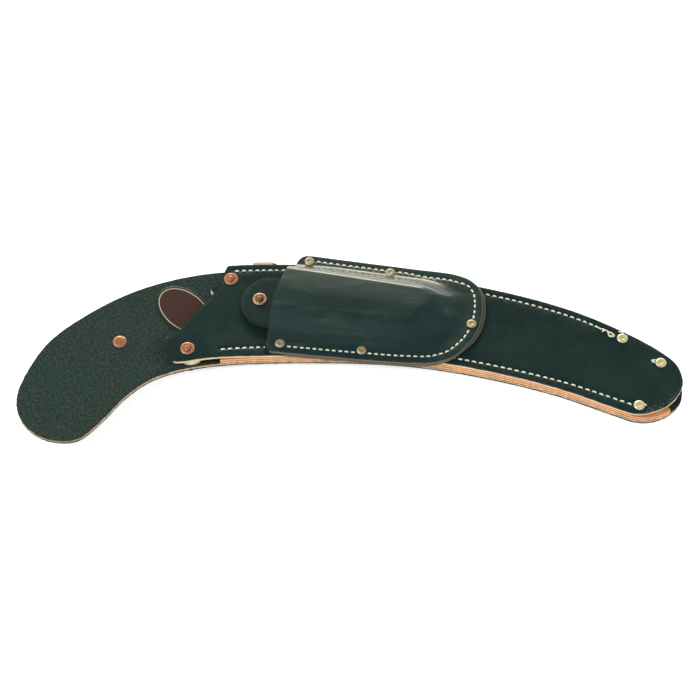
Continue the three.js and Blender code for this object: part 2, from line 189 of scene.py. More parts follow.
def tip_trim(x, y):
    """Under the tip the panel is trimmed short of the belting."""
    return 3.7 * smoothstep(x, 243, 280) * smoothstep(-y, 38, 58)


shared_edge = beside(stretch(back_outline, (-83, -12.8), (-114, 87.8)), tip_trim)
mouth_edge = smooth([(-115, 86.5), (-117.6, 78), (-118.5, 68), (-127, 55), (-143, 33.5), (-157, 14)])
lobe_edge = arc(-156, -3, 16, 128, 280, 30)
cut_back_edge = smooth(
    [(-149.2, -18.3), (-139.3, -16.5), (-130.2, -15.1), (-120, -13.9), (-105, -13.1), (-93, -12.9)]
)
panel_outline = cut_line(shared_edge + mouth_edge + lobe_edge + cut_back_edge)

WELT_WIDTH = 16
lower_welt_edge = stretch(back_outline, (-117.3, -15.3), (286.5, -67.8))
upper_welt_edge = stretch(back_outline, (301, -41), (-99, 88.7))


def lower_seam_inset(x, y):
    """The lower seam lies nearer to the edge half way along than at its ends."""
    return 9.2 - 2.1 * smoothstep(x, -60, 110) + 2 * smoothstep(x, 140, 250)


lower_seam = beside(stretch(back_outline, (-117.3, -15.3), (249.5, -72.9)), lower_seam_inset)
UPPER_SEAM_INSET = 7
upper_seam = beside(stretch(back_outline, (243, 17), (-108.5, 88.3)), UPPER_SEAM_INSET)

POUCH_POINTS = [
    (-71, -12.6), (-40, -16), (10, -21.1), (50, -24.4), (74, -24.3), (93, -17.4), (108, -2),
    (117.5, 17), (121, 38), (120, 53), (113, 65), (99, 72.6), (60, 79.2), (0, 88.6), (-34, 94.2),
]
pouch_sides = smooth(POUCH_POINTS)
MOUTH_POINTS = [
    (-41.5, 94.6), (-45.8, 92.2), (-49, 88), (-52, 81), (-58, 68), (-69, 35), (-76, 2), (-77.2, -6.6),
    (-74.5, -10.4),
]
pouch_mouth = smooth(MOUTH_POINTS)


def pouch_seam_inset(x, y):
    """The pouch's seam lies a little further in along the near side and at the far corner."""
    cornerward = smoothstep(x, 50, 76) * (1 - smoothstep(x, 103, 116)) * smoothstep(y, 40, 60)
    return 6.4 + 0.7 * smoothstep(-y, 0, 12) + 1.8 * cornerward


pouch_seam = beside(evenly(pouch_sides, 1.5), pouch_seam_inset)
TAB = (-73, 43.5, 28.5)


def round_the_end(x):
    """From 0 along the pouch's sides to 1 round its closed end, where its edges slant outwards."""
    return smoothstep(x, 98, 122)


def pouch_outline(flare):
    sides = beside(pouch_sides, lambda x, y: -flare * round_the_end(x))
    return cut_line(sides + pouch_mouth)


# --- node materials


class Nodes:
    """A node tree, and short ways to add to it."""

    def __init__(self, tree):
        self.tree = tree

    def node(self, kind, **settings):
        made = self.tree.nodes.new(kind)
        for key, value in settings.items():
            setattr(made, key, value)
        return made

    def plug(self, source, socket):
        """Sets an input to a number or a colour, or links an output to it."""
        if isinstance(source, bpy.types.NodeSocket):
            self.tree.links.new(source, socket)
        else:
            socket.default_value = source

    def math(self, operation, a, b=0.0):
        made = self.node("ShaderNodeMath", operation=operation)
        self.plug(a, made.inputs[0])
        self.plug(b, made.inputs[1])
        return made.outputs[0]

    def times(self, first, *others):
        for other in others:
            first = self.math("MULTIPLY", first, other)
        return first

    def plus(self, a, b):
        return self.math("ADD", a, b)

    def split(self, vector):
        """The X, Y and Z of a vector."""
        made = self.node("ShaderNodeSeparateXYZ")
        self.plug(vector, made.inputs[0])
        return made.outputs

    def ramp(self, value, low, high, to_low=0.0, to_high=1.0, kind="SMOOTHSTEP"):
        made = self.node("ShaderNodeMapRange", interpolation_type=kind)
        for socket, source in zip(made.inputs, (value, low, high, to_low, to_high)):
            self.plug(source, socket)
        return made.outputs[0]

    def mix(self, amount, a, b):
        made = self.node("ShaderNodeMix", data_type="RGBA")
        self.plug(amount, made.inputs[0])
        for colour, index in ((a, 6), (b, 7)):
            source = colour if isinstance(colour, bpy.types.NodeSocket) else (*colour, 1)
            self.plug(source, made.inputs[index])
        return made.outputs[2]

    def bands(self, value, stops):
        """Colours by value, from a list of (value from 0 to 1, colour)."""
        made = self.node("ShaderNodeValToRGB")
        elements = made.color_ramp.elements
        while len(elements) < len(stops):
            elements.new(0.5)
        for element, (position, colour) in zip(elements, stops):
            element.position = position
            element.color = (*colour, 1)
        self.plug(value, made.inputs[0])
        return made.outputs[0]


class Look(Nodes):
    """A material, with all its textures in millimetres of the frame."""

    def __init__(self, name, **sockets):
        self.material = bpy.data.materials.new(name)
        self.material.use_nodes = True
        super().__init__(self.material.node_tree)
        self.shader = self.tree.nodes["Principled BSDF"]
        for socket, value in sockets.items():
            self.shader.inputs[socket.replace("_", " ")].default_value = value
        self.coordinates = self.node("ShaderNodeTexCoord").outputs["Object"]

    def placed(self, stretch_by=(1, 1, 1), turn=0.0):
        """The place on the piece in millimetres, turned about Z and stretched."""
        mapping = self.node("ShaderNodeMapping")
        mapping.inputs["Scale"].default_value = [k / MM for k in stretch_by]
        mapping.inputs["Rotation"].default_value = (0, 0, turn)
        self.plug(self.coordinates, mapping.inputs["Vector"])
        return mapping.outputs["Vector"]

    def cloud(self, size, detail=4, rough=0.55, place=None, warp=0.0):
        """Noise of a given grain size in millimetres, from 0 to 1."""
        made = self.node("ShaderNodeTexNoise")
        self.plug(place or self.placed(), made.inputs["Vector"])
        made.inputs["Scale"].default_value = 1 / size
        made.inputs["Detail"].default_value = detail
        made.inputs["Roughness"].default_value = rough
        made.inputs["Distortion"].default_value = warp
        return made.outputs["Fac"]

    def cells(self, size, feature="F1"):
        made = self.node("ShaderNodeTexVoronoi", feature=feature)
        self.plug(self.placed(), made.inputs["Vector"])
        made.inputs["Scale"].default_value = 1 / size
        return made.outputs["Distance"]

    def attribute(self, name):
        return self.node("ShaderNodeAttribute", attribute_name=name).outputs["Fac"]

    def colour(self, source):
        self.plug(source, self.shader.inputs["Base Color"])

    def rough(self, source):
        self.plug(source, self.shader.inputs["Roughness"])

    def bump(self, height, depth_mm):
        """Relief of a depth in millimetres on the shader's normal."""
        made = self.node("ShaderNodeBump")
        made.inputs["Distance"].default_value = depth_mm * MM
        self.plug(height, made.inputs["Height"])
        self.plug(made.outputs[0], self.shader.inputs["Normal"])


DUST = (0.26, 0.25, 0.19)
# A pale warm colour for painted reflection on the pouch.
PAINTED_REFLECTION = (0.105, 0.105, 0.078)


def leather_look(name, deep, pale, roughness, scuff=0.35, flecks=0.0):
    """Smooth dyed leather: fine pores, cloudy dye, scuffed edges, and flecks by the tip's lower edge."""
    look = Look(name, Specular_IOR_Level=0.22)
    cloudy = look.cloud(34, rough=0.6)
    fine = look.cloud(2.2, rough=0.7)
    colour = look.mix(look.ramp(cloudy, 0.32, 0.7), deep, pale)
    colour = look.mix(look.ramp(fine, 0.55, 0.85, 0, 0.35), colour, pale)
    from_edge = look.attribute("edge_mm")
    scratched = look.ramp(look.cloud(3.5, detail=6, rough=0.72), 0.5, 0.68)
    worn = look.times(look.ramp(from_edge, 0.2, 3.2, 1, 0), scratched, scuff)
    specks = look.ramp(look.cells(11.0), 0.02, 0.04, 0.5 * scuff, 0)
    x, y, _ = look.split(look.placed())
    by_tip = look.times(look.ramp(x, 258, 268), look.ramp(y, -56, -44, 1, 0), flecks)
    near = look.ramp(from_edge, 1, 8, 1, 0)
    chips = look.times(by_tip, near, look.ramp(look.cloud(1.7, rough=0.7), 0.54, 0.62))
    pale_marks = look.math("MAXIMUM", look.math("MAXIMUM", worn, specks), chips)
    look.colour(look.mix(pale_marks, colour, DUST))
    look.rough(look.ramp(look.cloud(14, detail=5, rough=0.65), 0.3, 0.75, roughness - 0.07, roughness + 0.1))
    pores = look.ramp(look.cells(0.9), 0.0, 0.55)
    creases = look.cloud(4.5, detail=5, rough=0.6, warp=0.6)
    look.bump(look.plus(look.times(pores, 0.35), creases), 0.14)
    return look.material


def moulded_look(name, deep, pale):
    """Leather pressed to shape wet and waxed: glossy, with streaks and painted reflection drawn out along it.
    """
    look = Look(name, Specular_IOR_Level=0.3, Coat_Weight=0.9, Coat_Roughness=0.2)
    colour = look.mix(look.ramp(look.cloud(40, detail=3), 0.3, 0.7), deep, pale)
    streaks = look.cloud(1, detail=5, rough=0.62, place=look.placed((0.01, 0.2, 0.2), POUCH_SLOPE))
    colour = look.mix(look.ramp(streaks, 0.45, 0.8, 0, 0.35), colour, [1.35 * c for c in pale])
    # Painted reflection: a pale warm haze in blotches drawn out along the pouch.
    painted_reflection = look.cloud(1, rough=0.6, place=look.placed((0.022, 0.085, 0.085), POUCH_SLOPE))
    colour = look.mix(look.ramp(painted_reflection, 0.48, 0.82, 0, 0.4), colour, PAINTED_REFLECTION)
    edge = look.ramp(look.attribute("edge_mm"), 0.2, 2.4, 1, 0)
    scratched = look.ramp(look.cloud(3.5, detail=6, rough=0.72), 0.52, 0.7, 0, 0.3)
    look.colour(look.mix(look.times(edge, scratched), colour, DUST))
    look.rough(look.ramp(streaks, 0.3, 0.75, 0.42, 0.54))
    pores = look.ramp(look.cells(0.9), 0.0, 0.55)
    drawn = look.cloud(1, rough=0.6, place=look.placed((0.04, 0.25, 0.25), POUCH_SLOPE))
    look.bump(look.plus(look.times(pores, 0.2), drawn), 0.2)
    return look.material


def cut_edge_look(name, stops, thickness, fibre=0.25, stain=0.5):
    """The cut edge of a sheet: dark where the attribute pale is 0, banded from its grain side down where it
    is 1, and freshly cut where it is 2."""
    look = Look(name, Roughness=0.8, Specular_IOR_Level=0.2)
    ragged = look.ramp(look.cloud(1.6, rough=0.7), 0.2, 0.8, -0.5, 0.5, kind="LINEAR")
    wavy = look.ramp(look.cloud(9, detail=2), 0.25, 0.75, -0.5, 0.5, kind="LINEAR")
    level = look.plus(look.attribute("depth_mm"), look.times(look.plus(ragged, wavy), fibre * thickness))
    colour = look.bands(look.math("DIVIDE", level, thickness), stops)
    stained = look.ramp(look.cloud(11, rough=0.7), 0.35, 0.75, 0, stain)
    colour = look.mix(stained, colour, [0.5 * c for c in stops[len(stops) // 2][1]])
    grimy = look.ramp(look.cloud(2.4, rough=0.75), 0.6, 0.72, 0, 0.6 * stain)
    colour = look.mix(grimy, colour, DARK_DYE_AND_SHADE)
    pale = look.attribute("pale")
    look.colour(look.mix(look.ramp(pale, 1.0, 1.8), look.mix(pale, DARK_DYE_AND_SHADE, colour), FRESH_CUT))
    look.bump(look.cloud(1, rough=0.7, place=look.placed((0.5, 0.5, 2.4))), 0.2)
    return look.material


def belting_look():
    """Rubber belting with the nubbly impression of a coarse cloth, rubbed pale on the nubs."""
    look = Look("belting_face", Specular_IOR_Level=0.2)
    pitch = 6.2
    place = look.split(look.placed(turn=0.35))
    waves = []
    for axis, size in ((0, 8), (1, 6.5)):
        drift = look.cloud(size, detail=2, rough=0.5, place=look.placed(turn=1.1 * axis))
        wobble = look.ramp(drift, 0.25, 0.75, -3.4, 3.4, kind="LINEAR")
        waves.append(look.math("SINE", look.times(look.plus(place[axis], wobble), 2 * math.pi / pitch)))
    knots = look.ramp(look.times(*waves), -0.55, 0.6)
    grain = look.cloud(1.3, detail=3, rough=0.7)
    relief = look.plus(look.times(knots, 0.6), look.times(grain, 0.7))
    cloudy = look.cloud(40, rough=0.6)
    colour = look.mix(look.ramp(cloudy, 0.3, 0.7), BELTING_DARK, [1.3 * c for c in BELTING_DARK])
    colour = look.mix(look.ramp(relief, 0.35, 0.98, 0, 1, kind="LINEAR"), colour, BELTING_RUBBED)
    nicks = look.ramp(look.cells(7.0), 0.03, 0.07, 0.5, 0)
    look.colour(look.mix(nicks, colour, [1.5 * c for c in BELTING_RUBBED]))
    look.rough(look.ramp(cloudy, 0.3, 0.7, 0.66, 0.82))
    look.bump(relief, 0.5)
    return look.material


def upper_welt_look():
    """The grain side of the upper welts: dyed black on the foot, and cream where it was cut proud."""
    look = Look("upper_welt_face", Roughness=0.75, Specular_IOR_Level=0.2)
    x = look.split(look.placed())[0]
    worn = look.cloud(5, rough=0.65)
    cream = look.mix(look.ramp(worn, 0.35, 0.7), (0.66, 0.6, 0.44), (0.36, 0.3, 0.19))
    # Painted shade: the cream turns black from x -74 to -70, where the proud strip goes back under the panel.
    cream = look.mix(look.ramp(x, -74, -70), cream, DARK_DYE_AND_SHADE)
    look.colour(look.mix(look.ramp(x, -103, -97), DARK_DYE_AND_SHADE, cream))
    look.bump(worn, 0.15)
    return look.material


def metal_look(name, rim, middle, roughness, dents, metallic=0.55):
    """Aged metal: a paler rubbed rim round a tarnished middle, with the facets of a hammer."""
    look = Look(name, Metallic=metallic, Specular_IOR_Level=0.5)
    tarnish = look.cloud(2.6, detail=5, rough=0.65)
    worn = look.plus(look.attribute("rim"), look.ramp(tarnish, 0.2, 0.8, -0.12, 0.12, kind="LINEAR"))
    colour = look.mix(look.ramp(worn, 0.5, 0.8), middle, rim)
    look.colour(look.mix(look.ramp(tarnish, 0.45, 0.72, 0, 0.7), colour, [0.55 * c for c in middle]))
    look.rough(look.ramp(tarnish, 0.3, 0.7, roughness - 0.08, roughness + 0.14))
    blows = look.cells(1.7, feature="SMOOTH_F1")
    look.bump(look.plus(blows, look.times(look.cloud(0.5, detail=3), 0.25)), dents)
    return look.material


def thread_look():
    look = Look("waxed_thread", Roughness=0.65, Specular_IOR_Level=0.3)
    grubby = look.cloud(5, rough=0.7)
    strand = look.cloud(0.35, detail=3)
    colour = look.mix(look.ramp(grubby, 0.45, 0.8), (1.0, 0.97, 0.8), (0.86, 0.8, 0.56))
    look.colour(look.mix(look.ramp(strand, 0.5, 0.85, 0, 0.3), colour, (0.45, 0.39, 0.24)))
    look.bump(strand, 0.12)
    return look.material


def card_look(name, ink):
    look = Look(name, Specular_IOR_Level=0.35)
    mottled = look.cloud(3, rough=0.7)
    look.colour(look.mix(look.ramp(mottled, 0.4, 0.8, 0, 0.35), ink, [0.6 * c for c in ink]))
    look.rough(look.ramp(mottled, 0.3, 0.7, 0.4, 0.55))
    look.bump(look.cloud(0.6, detail=2), 0.03)
    return look.material


# The black of a dyed edge, also used as painted shade where the upper welts' proud strip goes under the
# panel.
DARK_DYE_AND_SHADE = (0.011, 0.021, 0.018)
BELTING_DARK = (0.0135, 0.03, 0.025)
BELTING_RUBBED = (0.031, 0.056, 0.046)
CREAM = (0.95, 0.76, 0.48)
FRESH_CUT = (1.0, 0.93, 0.74)
RED_BROWN = (0.36, 0.125, 0.065)
TAN = (0.92, 0.43, 0.2)

PANEL_DEEP = (0.008, 0.0245, 0.0228)
PANEL_PALE = (0.0112, 0.0325, 0.0305)
black_leather = leather_look("panel_leather", PANEL_DEEP, PANEL_PALE, 0.42, flecks=0.8)
# The tab's leather is painted lighter than the panel's, to lift the shade it lies in by the pouch's mouth.
tab_leather_painted_lighter = leather_look("tab_leather_painted_lighter", PANEL_PALE, [1.2 * c for c in PANEL_PALE], 0.45, scuff=0.1)
pouch_leather = moulded_look("pouch_leather", (0.0072, 0.028, 0.0262), (0.01, 0.035, 0.0322))
flesh_side = leather_look("flesh_side", (0.012, 0.02, 0.017), (0.026, 0.038, 0.031), 0.7, scuff=0.4)
upper_welt_face = upper_welt_look()
welt_face = leather_look("welt_face", (0.42, 0.17, 0.075), (0.62, 0.3, 0.14), 0.6, scuff=0.2)
spacer_face = leather_look("spacer_face", (0.55, 0.42, 0.22), (0.75, 0.62, 0.38), 0.65, scuff=0.2)
belting_face = belting_look()
panel_edge = cut_edge_look(
    "panel_edge",
    [
        (0.0, DARK_DYE_AND_SHADE), (0.14, (0.2, 0.15, 0.1)), (0.3, CREAM), (0.8, (0.92, 0.66, 0.44)),
        (1.0, (0.5, 0.22, 0.11)),
    ],
    LEATHER, fibre=0.2, stain=0.35,
)
pouch_edge = cut_edge_look(
    "pouch_edge",
    [
        (0.0, DARK_DYE_AND_SHADE), (0.25, (0.085, 0.09, 0.068)), (0.5, (0.215, 0.21, 0.155)),
        (0.75, (0.13, 0.105, 0.072)), (1.0, DARK_DYE_AND_SHADE),
    ],
    LEATHER, stain=0.35,
)
welt_edge = cut_edge_look(
    "welt_edge",
    [
        (0.08, RED_BROWN), (0.28, TAN), (0.55, (1.0, 0.53, 0.27)), (0.9, TAN), (1.0, RED_BROWN),
    ],
    LEATHER, fibre=0.1, stain=0.4,
)
spacer_edge = cut_edge_look(
    "spacer_edge",
    [(0.0, (0.6, 0.5, 0.32)), (0.5, (0.95, 0.84, 0.56)), (1.0, (0.55, 0.43, 0.25))],
    2 * LEATHER, stain=0.25,
)
belting_edge = cut_edge_look(
    "belting_edge",
    [
        (0.0, (0.04, 0.03, 0.02)), (0.12, (0.26, 0.15, 0.085)), (0.26, (0.92, 0.76, 0.5)),
        # From 0.56 down the edge is dark: partly the belting's own dark bottom layer, partly painted shade
        # against the floor's light.
        (0.44, (0.58, 0.44, 0.28)), (0.56, (0.11, 0.075, 0.048)), (1.0, (0.028, 0.02, 0.015)),
    ],
    belting_top - belting_low, fibre=0.2,
)
copper = metal_look("aged_copper", (0.66, 0.33, 0.2), (0.56, 0.21, 0.105), 0.4, 0.25)
worn_copper = metal_look("worn_copper", (0.86, 0.6, 0.38), (0.34, 0.15, 0.07), 0.38, 0.3)
tip_brass = metal_look("bright_brass", (0.98, 0.96, 0.72), (0.92, 0.8, 0.32), 0.34, 0.08, metallic=0.4)
pouch_brass = metal_look("aged_brass", (0.66, 0.57, 0.37), (0.58, 0.46, 0.25), 0.42, 0.14, metallic=0.45)
waxed_thread = thread_look()
tag_dark = card_look("tag_dark", (0.016, 0.017, 0.015))
tag_cream = card_look("tag_cream", (0.62, 0.53, 0.38))
tag_brown = card_look("tag_brown", (0.056, 0.021, 0.017))


# --- mesh building


def placed_object(name, data):
    made = bpy.data.objects.new(name, data)
    bpy.context.collection.objects.link(made)
    return made


def make_piece(node, kind, points, faces, looks, slots=None, sharp=40, attributes=None):
    """Makes an object from points in metres, which stands for a CAD node."""
    name = f"{node}_{kind}"
    mesh = bpy.data.meshes.new(name)
    mesh.from_pydata([tuple(p) for p in points], [], faces)
    for look in looks:
        mesh.materials.append(look)
    if slots is not None:
        mesh.polygons.foreach_set("material_index", slots)
    for key, values in (attributes or {}).items():
        mesh.attributes.new(key, "FLOAT", "POINT").data.foreach_set("value", list(values))
    mesh.polygons.foreach_set("use_smooth", [True] * len(mesh.polygons))
    mesh.set_sharp_from_angle(angle=math.radians(sharp))
    mesh.validate()
    piece = placed_object(name, mesh)
    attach(piece, "root")
    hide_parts(node)


def distance_to(line, x, y, closed=False):
    """The distance of plan points from a line, for arrays of x and y."""
    p = np.array(line + [line[0]] if closed else line, float)
    a, step = p[:-1], np.diff(p, axis=0)
    reach = (step**2).sum(axis=1)
    found = np.empty(len(x))
    for first in range(0, len(x), 2000):
        part = slice(first, first + 2000)
        dx, dy = x[part, None] - a[:, 0], y[part, None] - a[:, 1]
        t = np.clip((dx * step[:, 0] + dy * step[:, 1]) / reach, 0, 1)
        found[part] = np.hypot(dx - t * step[:, 0], dy - t * step[:, 1]).min(axis=1)
    return found


def inside(outline, x, y):
    p = np.array(outline, float)
    q = np.roll(p, -1, axis=0)
    crossings = np.zeros(len(x), int)
    for (ax, ay), (bx, by) in zip(p, q):
        if ay != by:
            crossings += ((ay > y) != (by > y)) & (x < (bx - ax) * (y - ay) / (by - ay) + ax)
    return crossings % 2 == 1


def inward(outline):
    """The way inwards at each point of a closed outline, longer at corners to keep sides parallel."""
    p = np.array(outline, float)
    ahead = np.roll(p, -1, axis=0) - p
    ahead /= np.linalg.norm(ahead, axis=1)[:, None]
    behind = np.roll(ahead, 1, axis=0)
    total = np.stack([-(ahead + behind)[:, 1], (ahead + behind)[:, 0]], axis=1)
    return total / np.maximum((total**2).sum(axis=1) / 2, 1.0)[:, None]


def level(x, y):
    return np.zeros(len(x))


def surface_points(x, y, depth, top, lift):
    """Points that lie a depth below the lifted top face, along its normal, in metres."""
    height, tiny = lift(x, y), 0.05
    slope_x = (lift(x + tiny, y) - height) / tiny
    slope_y = (lift(x, y + tiny) - height) / tiny
    size = np.sqrt(1 + slope_x**2 + slope_y**2)
    moved_x, moved_y = x + slope_x / size * depth, y + slope_y / size * depth
    placed = np.stack([moved_x, moved_y, top + height - depth / size], axis=1)
    return placed * MM + (drawing_x, drawing_y, 0)


GROOVE_HALF, GROOVE_DEPTH, GROOVE_STEP = 0.9, 0.4, 2.5
ROW_STEP = 0.87  # rows of a triangular grid, against the step along a row
EDGE_RINGS = ((1.0, 0.0), (0.62, 0.06), (0.29, 0.29), (0.06, 0.62), (0.0, 1.0))  # inset, depth


def sheet(
    node, outline, top, thickness, looks, kind="leather", lift=level,
    edge=0.6, grooves=(), grid=6.0, rough=0.12, slant=level, pale=None,
):
    """A sheet of leather or belting with round cut edges, seam grooves in its top face, and a lifted shape.

    looks are its face, its cut edge and its back. The top of the cut edge lies further in than its bottom by
    slant, and pale says where the cut edge is left pale rather than dark; both are functions of arrays of x
    and y.
    """
    turn = [(edge * i, edge * d) for i, d in EDGE_RINGS]
    waist = [(0.0, thickness * k) for k in (0.38, 0.5, 0.62)]
    profile = turn + waist + [(i, thickness - d) for i, d in reversed(turn)]
    normals = inward(outline)
    base = np.array(outline, float)
    leaning = slant(*base.T)
    count = len(outline)
    x, y, depth = [], [], []
    for k, (inset, down) in enumerate(profile):
        for (px, py), (nx, ny), lean in zip(base, normals, leaning):
            ragged = 0.0
            if 0 < k < len(profile) - 1:
                ragged = rough * (0.5 + noise.noise((px * 0.45, py * 0.45, down * 1.3)))
            total = inset + ragged + lean * (1 - down / thickness)
            x.append(px + nx * total)
            y.append(py + ny * total)
            depth.append(down)
    faces = []
    for k in range(len(profile) - 1):
        for i in range(count):
            j = (i + 1) % count
            faces.append((k * count + i, (k + 1) * count + i, (k + 1) * count + j, k * count + j))
    slots = [1] * len(faces)

    def fill(ring_start, ring_depth, lines, upward):
        """Fills the ring that starts at a vertex, through lines that have depths of their own."""
        coords = [(x[i], y[i]) for i in range(ring_start, ring_start + count)]
        edges, extra = [], []
        for line, line_depth in lines:
            first = len(coords) + len(extra)
            edges += [(first + k, first + k + 1) for k in range(len(line) - 1)]
            extra += [(*q, line_depth) for q in line]
        (x0, y0), (x1, y1) = np.min(coords, axis=0), np.max(coords, axis=0)
        gx, gy = np.meshgrid(np.arange(x0, x1, grid), np.arange(y0, y1, grid * ROW_STEP))
        gx[1::2] += grid / 2
        gx, gy = gx.ravel(), gy.ravel()
        keep = inside(coords, gx, gy)
        keep &= distance_to(coords, gx, gy, closed=True) > 0.55 * grid
        for line, _ in lines:
            keep &= distance_to(line, gx, gy) > 0.5 * grid
        extra += [(a, b, ring_depth) for a, b in zip(gx[keep], gy[keep])]
        vectors = [Vector(c) for c in coords] + [Vector(c[:2]) for c in extra]
        made, _, triangles, sources, _, _ = delaunay_2d_cdt(vectors, edges, [list(range(count))], 1, 1e-7)
        ids = []
        for point, source in zip(made, sources):
            if source and min(source) < count:
                ids.append(ring_start + min(source))
                continue
            x.append(point.x)
            y.append(point.y)
            depth.append(extra[min(source) - count][2] if source else ring_depth)
            ids.append(len(x) - 1)
        for triangle in triangles:
            corners = [ids[i] for i in triangle]
            (ax, ay), (bx, by), (cx, cy) = ((x[i], y[i]) for i in corners)
            up = (bx - ax) * (cy - ay) - (by - ay) * (cx - ax) > 0
            faces.append(tuple(corners if up == upward else reversed(corners)))
            slots.append(0 if upward else 2)

    lines = []
    for seam_line in grooves:
        line = evenly(seam_line, GROOVE_STEP)
        lines += [(beside(line, GROOVE_HALF), 0.0), (line, GROOVE_DEPTH), (beside(line, -GROOVE_HALF), 0.0)]
    fill(0, 0.0, lines, True)
    fill((len(profile) - 1) * count, thickness, [], False)
    x, y, depth = np.array(x), np.array(y), np.array(depth)
    points = surface_points(x, y, depth, top, lift)
    attributes = {
        "depth_mm": depth,
        "edge_mm": distance_to(outline, x, y, closed=True),
        "pale": pale(x, y) if pale else np.ones(len(x)),
    }
    make_piece(node, kind, points, faces, looks, slots, attributes=attributes)


# --- back plate, welts, spacer and panel


def make_back_plate():
    sheet(
        "belting_back", back_outline, belting_top, belting_top - belting_low,
        [belting_face, belting_edge, belting_face],
        kind="plate", edge=0.5, rough=0.6, pale=belting_pale,
    )


def upper_welt_outline(proud):
    """The outer welt of the two stands proud of the edge for a short way near the mouth."""
    outer = list(upper_welt_edge)
    if proud:
        strip = [(-66.5, 89.2), (-69.5, 92.6), (-74, 94.4), (-90.8, 93.9), (-92, 89.1)]
        outer = [p for p in outer if p[0] > -66] + strip + [p for p in outer if p[0] < -93]
    foot = [(-113.6, 87.6), (-118.2, 70), (-129.8, 62.8), (-127, 58.6), (-112, 58), (-99, 64.5)]
    inner = [p for p in reversed(beside(upper_welt_edge, WELT_WIDTH)) if p[0] > -62]
    return cut_line(outer + foot + inner)


def upper_welt_pale(x, y):
    """The upper welts are dyed at the foot, freshly cut at its end, and dark in the gap at the tip."""
    fresh_cut = 2 * smoothstep(-x, 126.2, 127)
    return (1 - smoothstep(-x, 96, 100)) * (1 - smoothstep(x, 284, 288)) + fresh_cut


def belting_pale(x, y):
    """The belting's cut edge is darker in the gap at the tip, and less so round the paddle."""
    return 1 - 0.75 * smoothstep(x, 287, 292) - 0.35 * smoothstep(-x, 215, 245)


def make_welts():
    lower_outline = cut_line(lower_welt_edge + beside(lower_welt_edge, WELT_WIDTH)[::-1])
    for side, face, pale in (("lower", welt_face, None), ("upper", upper_welt_face, upper_welt_pale)):
        for layer in ("inner", "outer"):
            node = f"{side}_welt_{layer}"
            low, high = heights(node)
            outline = lower_outline if side == "lower" else upper_welt_outline(layer == "outer")
            sheet(
                node, outline, high, high - low,
                [face, welt_edge, welt_face],
                edge=0.3, grid=9, rough=0.4, pale=pale,
            )


def make_spacer():
    low, high = heights("mouth_spacer")
    sheet(
        "mouth_spacer", ring(*SPACER, 72), high, high - low,
        [spacer_face, spacer_edge, spacer_face],
        edge=0.5, rough=0.4,
    )


def panel_lift(x, y):
    """The panel sags a little into the blade channel, and gapes a little at the mouth between its rivets."""
    edge = distance_to(panel_outline, x, y, closed=True)
    sag = -0.45 * smoothstep(edge, 14, 36)
    mouth = distance_to(mouth_edge[16:], x, y)
    gape = 0.9 * np.exp(-((mouth / 16) ** 2)) * np.clip((x + 165) / 22, 0, 1) * np.clip((-112 - x) / 10, 0, 1)
    return sag + gape


def panel_pale(x, y):
    """The panel's cut edge is dark at the mouth and round the lobe, and pale elsewhere."""
    return smoothstep(distance_to(mouth_edge + lobe_edge[:24], x, y), 1.0, 3.0)


def make_panel():
    sheet(
        "front_panel", panel_outline, panel_top, LEATHER,
        [black_leather, panel_edge, flesh_side],
        lift=panel_lift, grooves=[lower_seam, upper_seam], grid=5, pale=panel_pale,
    )


# --- pouch

pouch_near_side = [(-110, -9)] + stretch(pouch_sides, (-71, -12.6), (93, -17.4))
pouch_closed_end = stretch(pouch_sides, (93, -17.4), (113, 65))
pouch_far_side = stretch(pouch_sides, (113, 65), (-34, 94.2)) + [(-70, 100.2)]


def pouch_lift(x, y):
    """The moulded bulge above the flange: a steep far wall, a rounder near wall and a sloping closed end."""
    far, near, end = (distance_to(line, x, y) for line in (pouch_far_side, pouch_near_side, pouch_closed_end))
    crown = np.interp(x, (-76, -40, 0, 60, 85, 120), (24, 23.6, 22, 18.5, 17, 15))
    foot = 12 - 3.4 * smoothstep(x, -60, -10)
    far_wall = 0.82 * smoothstep(far, foot, 33) + 0.18 * smoothstep(far, 12, 58)
    near_wall = 0.93 * smoothstep(near, 13, 36) + 0.07 * smoothstep(near, 13, 53)
    return crown * far_wall * near_wall * smoothstep(end, 12, 52)


def pouch_pale(x, y):
    """The cut edge of the pouch's sides is bare, and its mouth is dyed."""
    return smoothstep(distance_to(pouch_mouth[6:], x, y), 0.8, 2.5)


def tab_pale(x, y):
    """The tab's cut edge is dyed, and the rest of the pouch's back is bare."""
    return smoothstep(x, -64, -56)


def slant(x, y):
    """The pouch's cut edges are bevelled a little along its sides, and slant outwards round its end."""
    return 0.5 + 1.7 * round_the_end(x)


def make_pouch():
    flare_front, flare_back = 2.1, 4.4
    tab_x, tab_y, tab_radius = TAB
    tab = ring(*TAB, 80)
    outline = pouch_outline(flare_back)
    hidden = [p for p in outline if math.dist(p, (tab_x, tab_y)) > tab_radius]
    start = max(range(len(hidden)), key=lambda i: math.dist(hidden[i], hidden[i - 1]))
    hidden = hidden[start:] + hidden[:start]
    bow = [p for p, covered in zip(tab, inside(outline, *np.array(tab).T)) if not covered]
    bow.sort(key=lambda p: math.atan2(p[1] - tab_y, p[0] - tab_x) % (2 * math.pi))
    sheet(
        "pouch_back", cut_line(hidden + bow), pouch_back_top, LEATHER,
        [tab_leather_painted_lighter, pouch_edge, flesh_side],
        slant=slant, pale=tab_pale,
    )
    sheet(
        "pouch_front", pouch_outline(flare_front), flange_top, LEATHER,
        [pouch_leather, pouch_edge, flesh_side],
        lift=pouch_lift, grooves=[pouch_seam], grid=2.0, slant=slant, pale=pouch_pale,
    )


# --- belt loop


